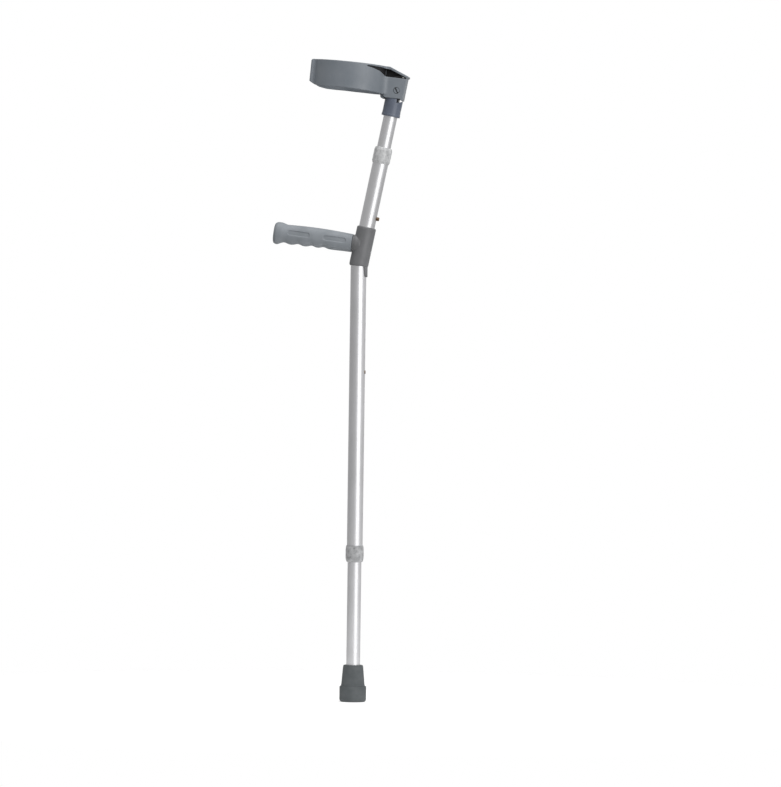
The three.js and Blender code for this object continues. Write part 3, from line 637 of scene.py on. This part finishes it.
def ribbon(line, thickness):
    """The outline of a strip of one thickness along a line of (x, y) points."""
    left, right = [], []
    for i, (x, y) in enumerate(line):
        xa, ya = line[max(i - 1, 0)]
        xb, yb = line[min(i + 1, len(line) - 1)]
        length = math.hypot(xb - xa, yb - ya)
        nx, ny = -(yb - ya) / length * thickness / 2, (xb - xa) / length * thickness / 2
        left.append((x + nx, y + ny))
        right.append((x - nx, y - ny))
    return left + right[::-1]


# The opening under the hood, seen from the side, and the height of its lower edge towards the front.
WINDOW = [(-50, 33.7), (-38, 31.2), (-28.5, 28), (-24, 24.4), (-21, 21.4), (-17, EAR_HIGH),
          (BACK_TOP - 1.5, EAR_HIGH - 0.8), (BACK_TOP - 1, 21.4), (-13, 32.6), (-30, 34.1), (-50, 34.4)]
WINDOW_ROUNDING = [0, 6, 4, 3, 3, 3, 0, 0, 2, 3, 0]
# The wedge under the hood where shade is painted: its lower edge along the cuff, and its top.
WEDGE_FROM, WEDGE_FLOOR = [-52, -50, -38, -28.5, -24, -20], [34, 33.3, 30.8, 27.6, 24, 20.5]
WEDGE_ROOF = 34.7


def in_recess(point):
    """Whether a point in the cuff's frame lies in the wedge under the hood or in the hinge channel, where
    shade is painted.
    """
    p, y, h = point
    if p < BAND_LOW:
        depth = (1 - math.hypot((p - BAND_CENTRE) / HALF_LENGTH, y / HALF_WIDTH)) * HALF_LENGTH
        return -1.1 < depth < 1.3 and np.interp(p, WEDGE_FROM, WEDGE_FLOOR) < h < WEDGE_ROOF
    roof = np.interp(p, [-20, -13.5, BACK_TOP], [33.4, 33.4, 21.9])
    back = np.interp(h, [BACK_LOW, BACK_HIGH], [BACK_BOTTOM, BACK_TOP]) - 0.8
    return abs(y) < EAR_OUT - 0.5 and h < roof and p < back


def cuff_band():
    """The two arms with their beaded lips, cut to the cuff's outline seen from the side."""
    line = arm_line(-1)[::-1] + arm_line(1)[1:]
    band = pillar("cuff_band_shell", ribbon(line, WALL), BAND_LOW, 50)
    for side in (-1, 1):
        x, y = arm_line(side)[-1]
        fused(band, rod("bead", BEAD_R, (x, y, BAND_LOW), (x, y, 50)))
    front, rear = -143, -16
    outline = rounded([(front, 12), (front, 2.4), (-131, -4), (-120, -5.6), (-107, -5.5), (-91, -5.2),
                       (-60, -5.8), (-30, -7), (rear, -8.4), (rear, BAND_TOP), (front + 4.5, BAND_TOP),
                       (front, BAND_TOP - 5)],
                      [0, 8, 8, 12, 12, 20, 30, 20, 0, 0, 4, 3], 8)
    return joined(band, [prism("outline", outline, -70, 70)], "INTERSECT")


def add_hinge_walls(band):
    """Two ears beside the socket's tongue, the sloping back wall between them and the hood over it."""
    corner = BACK_BOTTOM - BACK_WALL - 1
    ear = [(EAR_FRONT, EAR_LOW + 3), (EAR_FRONT + 3, EAR_LOW), (corner - 1.5, EAR_LOW), (corner, BACK_LOW),
           (BACK_BOTTOM, BACK_LOW), (BACK_TOP, BACK_HIGH), (EAR_FRONT, EAR_HIGH + 15)]
    for side in (-1, 1):
        fused(band, prism("ear", ear, *sorted((side * EAR_IN, side * EAR_OUT))))
    back = [(BACK_BOTTOM - BACK_WALL, BACK_LOW), (BACK_BOTTOM, BACK_LOW), (BACK_TOP, BACK_HIGH),
            (BACK_TOP - BACK_WALL, BACK_HIGH)]
    hood = [(-21, BAND_TOP), (-14, BAND_TOP), (BACK_TOP + 2, 24.2), (BACK_TOP + 2, 21.4),
            (BACK_TOP - 1, EAR_HIGH), (-14, 32.6), (-21, 32.6)]
    fused(band, prism("back", back, -EAR_OUT, EAR_OUT))
    fused(band, prism("hood", hood, -EAR_OUT, EAR_OUT))


def add_webs(band):
    """Curved webs from the ears into the arms, with the opening under the hood cut through them."""
    x0, y0, radius = -13.04, 26.65, 12
    window = rounded(WINDOW, WINDOW_ROUNDING)
    for side in (-1, 1):
        turn = [(x0 - radius * math.sin(a), y0 - radius * math.cos(a))
                for a in np.radians(np.linspace(0, 64.2, 14))]
        web = [(x0, 12), *turn, (-25, 20), (-20, 12)]
        fused(band, pillar("web", [(x, side * y) for x, y in web], -7.6, 34))
    cut(band, prism("window", window, -60, -9.5), prism("window", window, 9.5, 60))


def add_stop_lug(band):
    """The lug below the band that rests against the front of the socket."""
    outline = rounded([(-27, -6), (-26, -13), (-22, -14.5), (-12, -14.5), (-12, -5), (-22, 2)],
                      [0, 2, 2, 0, 0, 0])
    lug = prism("lug", outline, -5, 5)
    room = rod("room", SOCKET_R + GAP, (0, 0, 240), (0, 0, 300), 64)
    room.data.transform(UPPER_TO_CUFF)
    cut(lug, room)
    fused(band, lug)


def add_inner_walls(band):
    """The recessed floor behind the opening, the rib over the tongue and the rib along the hood's rear."""
    inner = arm_line(-1, 0.9)[::-1] + arm_line(1, 0.9)[1:]
    low, high, rear = 15, 35.5, -19
    floor = pillar("floor", ribbon(inner, WALL - 1.8), low, high)
    extent = prism("extent", [(-60, low), (rear, low), (rear, high), (-60, high)], -70, 70)
    joined(floor, [extent], "INTERSECT")
    crown_r = TONGUE_TOP + 0.5
    crown = [(crown_r * math.cos(a), crown_r * math.sin(a)) for a in np.radians(np.linspace(58, 140, 20))]
    rib = prism("rib", [*crown, (-21, 16), (-21, 35), (-13, 35), (BACK_TOP - 1.2, 22.8)], -3, 3)
    rear_rib = prism("rear_rib", [(9.6, 18.8), (BACK_TOP - 1.4, 18.8), (BACK_TOP - 1, 22.2), (9.6, 24.2)],
                     -9.3, 9.3)
    fused(band, floor, rib, rear_rib)


def make_cuff():
    band = cuff_band()
    add_hinge_walls(band)
    add_webs(band)
    add_stop_lug(band)
    moulded(band, 0.6, 5)
    add_inner_walls(band)
    cut(band, rod("pin", PIN_R + GAP, (0, -20, 0), (0, 20, 0)),
        rod("sink", PIN_SINK, (0, -20, 0), (0, -12.9, 0), 48),
        rod("sink", PIN_SINK, (0, 12.9, 0), (0, 20, 0), 48))
    finished(band, MATERIALS["cuff"], "cuff", "cuff", "cuff_band", matrix=CUFF, sharp=50)
    # Painted shade: faces in the wedge under the hood and in the hinge channel get the near-black painted
    # shade material.
    to_cuff = CUFF.inverted()
    paint_shade(band, lambda centre: in_recess(to_cuff @ centre))


def make_cuff_pin():
    """The hinge pin: a flat head on the near side with a narrow slot, with shade painted on its floor."""
    half_slot, slot_floor = 0.95, -13.8
    profile = rounded([(0, -PIN_END), (PIN_HEAD, -PIN_END), (PIN_HEAD, -13.2), (PIN_R, -13.2),
                       (PIN_R, PIN_END), (0, PIN_END)], [0, 0.8, 0.15, 0.1, 0.5, 0])
    pin = turned("cuff_pin_turned", profile, 64)
    slot = pillar("slot", [(-9, -half_slot), (9, -half_slot), (9, half_slot), (-9, half_slot)],
                  -15.5, slot_floor)
    slot.data.transform(Matrix.Rotation(math.radians(60), 4, "Z"))
    cut(pin, slot)
    pin.data.transform(Matrix.Rotation(-math.pi / 2, 4, "X"))
    finished(pin, MATERIALS["cuff"], "cuff", "socket", "cuff_pin", matrix=CUFF)
    to_cuff = CUFF.inverted()

    # Painted shade on the slot's floor and sides.
    def in_slot(centre):
        x, y, z = to_cuff @ centre
        return -14.35 < y < slot_floor + 0.2 and math.hypot(x, z) < PIN_HEAD - 0.1

    paint_shade(pin, in_slot)


def make_cuff_cap():
    seat, top, bore_r = 13.2, 14.4, PIN_R + GAP
    profile = rounded([(bore_r, seat), (PIN_HEAD, seat), (PIN_HEAD, top), (bore_r, top)], [0, 0.15, 0.7, 0])
    cap = turned("cuff_pin_cap_turned", [*profile, profile[0]], 64)
    cap.data.transform(Matrix.Rotation(-math.pi / 2, 4, "X"))
    finished(cap, MATERIALS["steel"], "cuff", "steel", "cuff_pin_cap", matrix=CUFF)


def make_rivets():
    seat, brim, top = 14.4, 15.4, 15.5
    profile = rounded([(0, 10.9), (BRACKET_RIVET_R, 10.9), (BRACKET_RIVET_R, seat),
                       (BRACKET_RIVET_HEAD, seat), (BRACKET_RIVET_HEAD - 0.2, brim), (0, top)],
                      [0, 0, 0, 0.2, 0.6, 0])
    rivet = turned("bracket_rivet_turned", profile, 48)
    rivet.data.transform(Matrix.Translation((0, 0, BRACKET_RIVET_S)) @ REARWARD)
    finished(rivet, MATERIALS["steel"], "frame", "steel", "bracket_rivet", matrix=UPPER)
    head_r, neck, end = 3.2, 13.2, 14.4
    profile = rounded([(0, -end), (head_r, -end), (SOCKET_RIVET_R, -neck), (SOCKET_RIVET_R, neck),
                       (head_r, end), (0, end)], [0, 0.3, 0, 0, 0.3, 0])
    rivet = turned("socket_rivet_turned", profile, 48)
    rivet.data.transform(Matrix.Translation((0, 0, SOCKET_RIVET_S)) @ REARWARD)
    finished(rivet, MATERIALS["steel"], "forearm", "steel", "socket_rivet", matrix=UPPER)


def dress_hidden_nodes():
    """The CAD nodes that stay get the procedural material of their slot."""
    slots = {row["node"]: row["material_slot"] for row in frame["record"]["subparts"]}
    for name in ("forearm_end_plug", "leg_end_plug", "forearm_spring", "leg_spring", "handle_core",
                 "upper_collar_ring", "lower_collar_ring", "ferrule_washer"):
        node = frame["nodes"][name]
        node.data.materials.clear()
        node.data.materials.append(MATERIALS[slots[name]])


# ------------------------------------------------------------ studio
CAMERA_DISTANCE = 7.8
VIEW_WIDTH = 1.2582        # width of the picture at the crutch, in metres
VIEW_AZIMUTH, VIEW_ROLL = math.radians(6.0), math.radians(0.78)
AIM = Vector((0.0546, 0.0, 0.4973))


def make_camera():
    data = bpy.data.cameras.new("camera")
    data.sensor_fit = "HORIZONTAL"
    data.lens = data.sensor_width * CAMERA_DISTANCE / VIEW_WIDTH
    data.clip_end = 60
    camera = bpy.data.objects.new("camera", data)
    bpy.context.scene.collection.objects.link(camera)
    back = Vector((math.sin(VIEW_AZIMUTH), -math.cos(VIEW_AZIMUTH), 0))
    camera.location = AIM + back * CAMERA_DISTANCE
    roll = Matrix.Rotation(VIEW_ROLL, 4, "Z")
    camera.matrix_world = (Matrix.Translation(camera.location)
                           @ (-back).to_track_quat("-Z", "Y").to_matrix().to_4x4() @ roll)
    bpy.context.scene.camera = camera


def softbox(name, azimuth, elevation, distance, width, height, power):
    """A rectangular light, aimed at the middle of the crutch from an azimuth and elevation in degrees."""
    data = bpy.data.lights.new(name, "AREA")
    data.shape = "RECTANGLE"
    data.size, data.size_y = width, height
    data.energy = power
    light = bpy.data.objects.new(name, data)
    bpy.context.scene.collection.objects.link(light)
    a, e = math.radians(azimuth), math.radians(elevation)
    way = Vector((math.sin(a) * math.cos(e), -math.cos(a) * math.cos(e), math.sin(e)))
    centre = Vector((0, 0, 0.55))
    light.matrix_world = (Matrix.Translation(centre + way * distance)
                          @ way.to_track_quat("Z", "Y").to_matrix().to_4x4())


def make_world():
    """The camera sees white; light and reflections see a grey studio, paler to the right and dark below."""
    world = bpy.data.worlds.new("studio")
    bpy.context.scene.world = world
    world.use_nodes = True
    tree = world.node_tree
    tree.nodes.clear()
    out = tree.nodes.new("ShaderNodeOutputWorld")
    mix = tree.nodes.new("ShaderNodeMixShader")
    path = tree.nodes.new("ShaderNodeLightPath")
    white = tree.nodes.new("ShaderNodeBackground")
    white.inputs["Color"].default_value = (1, 1, 1, 1)
    grey = tree.nodes.new("ShaderNodeBackground")
    coordinates = tree.nodes.new("ShaderNodeTexCoord")
    split = tree.nodes.new("ShaderNodeSeparateXYZ")
    tree.links.new(coordinates.outputs["Generated"], split.inputs["Vector"])
    product = tree.nodes.new("ShaderNodeMath")
    product.operation = "MULTIPLY"
    tree.links.new(spread(tree, split.outputs["X"], 0.62, 1.0, -1, 1), product.inputs[0])
    tree.links.new(spread(tree, split.outputs["Z"], 0.12, 1.0, -0.7, 0.12), product.inputs[1])
    tree.links.new(product.outputs[0], grey.inputs["Strength"])
    tree.links.new(path.outputs["Is Camera Ray"], mix.inputs["Fac"])
    tree.links.new(grey.outputs["Background"], mix.inputs[1])
    tree.links.new(white.outputs["Background"], mix.inputs[2])
    tree.links.new(mix.outputs["Shader"], out.inputs["Surface"])


def make_floor():
    """A pale floor disc that fades out to the white backdrop."""
    floor = turned("floor", [(0, -0.02), (2.4, -0.02), (2.4, -0.0004), (0, -0.0004)], 128)
    material = bpy.data.materials.new("floor_white")
    material.use_nodes = True
    tree = material.node_tree
    shader = tree.nodes["Principled BSDF"]
    shader.inputs["Base Color"].default_value = (0.92, 0.92, 0.92, 1)
    shader.inputs["Roughness"].default_value = 0.9
    shader.inputs["Emission Color"].default_value = (1, 1, 1, 1)
    shader.inputs["Emission Strength"].default_value = 0.35
    place = tree.nodes.new("ShaderNodeTexCoord")
    length = tree.nodes.new("ShaderNodeVectorMath")
    length.operation = "LENGTH"
    tree.links.new(place.outputs["Object"], length.inputs[0])
    fade = spread(tree, length.outputs["Value"], 0.0, 1.0, 0.12, 0.9)
    clear = tree.nodes.new("ShaderNodeBsdfTransparent")
    mix = tree.nodes.new("ShaderNodeMixShader")
    tree.links.new(fade, mix.inputs["Fac"])
    tree.links.new(shader.outputs["BSDF"], mix.inputs[1])
    tree.links.new(clear.outputs["BSDF"], mix.inputs[2])
    tree.links.new(mix.outputs["Shader"], tree.nodes["Material Output"].inputs["Surface"])
    floor.data.materials.append(material)


def make_studio():
    make_camera()
    softbox("key", azimuth=42, elevation=14, distance=3.2, width=2.4, height=2.8, power=44)
    softbox("top", azimuth=0, elevation=80, distance=2.6, width=1.6, height=1.6, power=26)
    make_world()
    make_floor()
    bpy.context.scene.view_settings.view_transform = "Standard"


make_handle_tube()
make_sliding_tube("leg_tube_skin", "leg_tube", "leg", LEG_LOW, LEG_HIGH, LEG_BUTTON_Z, LOWER)
make_sliding_tube("forearm_tube_skin", "forearm_tube", "forearm", FOREARM_LOW, FOREARM_HIGH,
                  UPPER_FIRST_HOLE_S, UPPER)
make_button("leg_button_turned", "leg_button", "leg_catch", LEG_BUTTON_Z, LEG_BUTTON_PROUD, LOWER)
make_button("forearm_button_turned", "forearm_button", "forearm_catch", UPPER_FIRST_HOLE_S,
            FOREARM_BUTTON_PROUD, UPPER)
make_bracket()
make_grip()
make_collar("upper_collar_turned", "upper_collar", "pale_collar", UPPER_COLLAR_R, UPPER_COLLAR_LOW,
            UPPER_COLLAR_HIGH, TUBE_TOP_S, lip=1, matrix=UPPER, taper=0.0)
make_collar("lower_collar_turned", "lower_collar", "grey_collar", LOWER_COLLAR_R, LOWER_COLLAR_LOW,
            LOWER_COLLAR_HIGH, TUBE_BOTTOM_Z, lip=-1, matrix=LOWER, taper=0.5)
make_ferrule()
make_socket()
make_cuff()
make_cuff_pin()
make_cuff_cap()
make_rivets()
dress_hidden_nodes()
make_studio()
